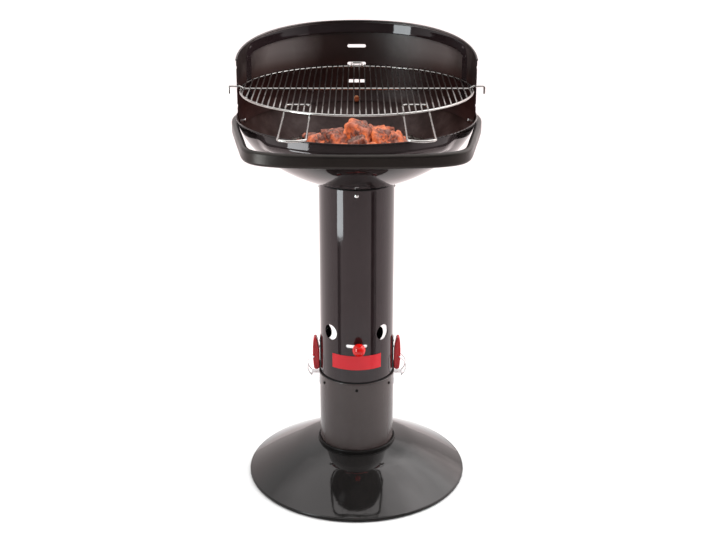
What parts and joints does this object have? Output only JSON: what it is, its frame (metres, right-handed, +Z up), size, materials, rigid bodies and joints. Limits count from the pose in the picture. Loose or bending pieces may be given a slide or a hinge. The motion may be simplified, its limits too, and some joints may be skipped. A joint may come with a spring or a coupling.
{
  "type": "charcoal grill",
  "caption": "Pedestal charcoal grill: domed foot, ash pot, column with rotary air damper and side latches, round bowl with grip ring, windscreen and pull-out wire cooking grid.",
  "frame": {"origin": "on the column's axis, at the floor", "axes": "+Z up; -Y is the front, where the damper knob and the grid's handles are; +X is at the right in a view of the front"},
  "size_m": [0.528, 0.6759, 0.978],
  "materials": {
    "enamel_black": "gloss enamel",
    "ring_black": "satin",
    "black_steel": "satin",
    "seal_black": "matt",
    "chrome_wire": "bright",
    "grate_steel": "heat-tinted",
    "zinc_steel": "bright zinc",
    "screw_steel": "bright zinc",
    "damper_metal": "bright",
    "knob_red": "gloss",
    "lever_red": "semi-gloss",
    "plate_red": "gloss",
    "charcoal": "burnt, glowing and ashed"
  },
  "bodies": {
    "stand": {"foot": "enamel_black", "ash_pot": "enamel_black", "support_ring": "zinc_steel", "pot_screws": "screw_steel", "pot_seal": "seal_black", "column_tube": "enamel_black", "neck_screws": "screw_steel", "front_plate": "plate_red", "latch_base_left": "black_steel", "latch_base_right": "black_steel", "latch_pin_left": "screw_steel", "latch_pin_right": "screw_steel", "pot_catch_left": "zinc_steel", "pot_catch_right": "zinc_steel", "latch_rivets": "screw_steel", "bowl": "enamel_black", "windscreen": "enamel_black", "grip_ring": "ring_black", "ring_spacers": "black_steel", "ring_bolts": "screw_steel", "rear_bolt": "screw_steel", "grate_rim": "grate_steel", "grate_bars": "grate_steel", "charcoal": "charcoal"},
    "damper": {"damper_ring": "damper_metal", "damper_stem": "screw_steel", "damper_knob": "knob_red"},
    "lever_left": {"latch_lever_left": "lever_red"},
    "lever_right": {"latch_lever_right": "lever_red"},
    "bail_left": {"latch_bail_left": "chrome_wire"},
    "bail_right": {"latch_bail_right": "chrome_wire"},
    "cooking_grid": {"grid_rim": "chrome_wire", "grid_bars": "chrome_wire", "grid_cross_bar": "chrome_wire", "grid_handles": "chrome_wire", "grid_rear_tab": "chrome_wire"}
  },
  "joints": [
    {"name": "damper_turn", "type": "hinge", "parent": "stand", "child": "damper", "pos_m": [0, 0, 0.3534], "axis": [0, 0, 1], "range_deg": [-16.5, 11]},
    {"name": "latch_left_open", "type": "hinge", "parent": "stand", "child": "lever_left", "pos_m": [-0.0887, 0, 0.2543], "axis": [0, -1, 0], "range_deg": [0, 95]},
    {"name": "latch_right_open", "type": "hinge", "parent": "stand", "child": "lever_right", "pos_m": [0.0887, 0, 0.2543], "axis": [0, 1, 0], "range_deg": [0, 95]},
    {"name": "bail_left_swing", "type": "hinge", "parent": "lever_left", "child": "bail_left", "pos_m": [-0.0943, 0, 0.2795], "axis": [0, -1, 0], "range_deg": [-95, 0]},
    {"name": "bail_right_swing", "type": "hinge", "parent": "lever_right", "child": "bail_right", "pos_m": [0.0943, 0, 0.2795], "axis": [0, 1, 0], "range_deg": [-95, 0]},
    {"name": "grid_pull", "type": "slide", "parent": "stand", "child": "cooking_grid", "axis": [0, -1, 0], "range_m": [0, 0.3]}
  ],
  "couplings": [
    {"joint": "bail_left_swing", "follows": "latch_left_open", "ratio": -1},
    {"joint": "bail_right_swing", "follows": "latch_right_open", "ratio": -1}
  ]
}
